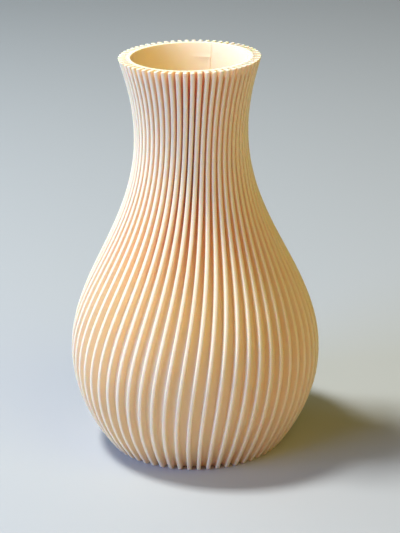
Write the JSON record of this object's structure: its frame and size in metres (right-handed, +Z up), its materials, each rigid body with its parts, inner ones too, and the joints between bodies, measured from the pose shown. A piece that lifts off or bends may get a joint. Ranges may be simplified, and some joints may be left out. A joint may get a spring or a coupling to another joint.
{
  "type": "vase",
  "caption": "Pear-shaped printed vase with a narrow flared neck, its wall carried round by thin upright ribs that lean as they rise.",
  "frame": {"origin": "middle of the foot's underside, on the surface that the vase stands on", "axes": "+Z up the vase's axis towards the mouth; the first rib starts at the foot on -Y, and the ribs turn towards +X at the front as they rise"},
  "size_m": [0.1266, 0.1266, 0.2],
  "materials": {
    "printed_plastic": "cream printed plastic with a soft satin sheen and fine level layer lines"
  },
  "bodies": {
    "root": {"vase_body": "printed_plastic"}
  },
  "joints": []
}
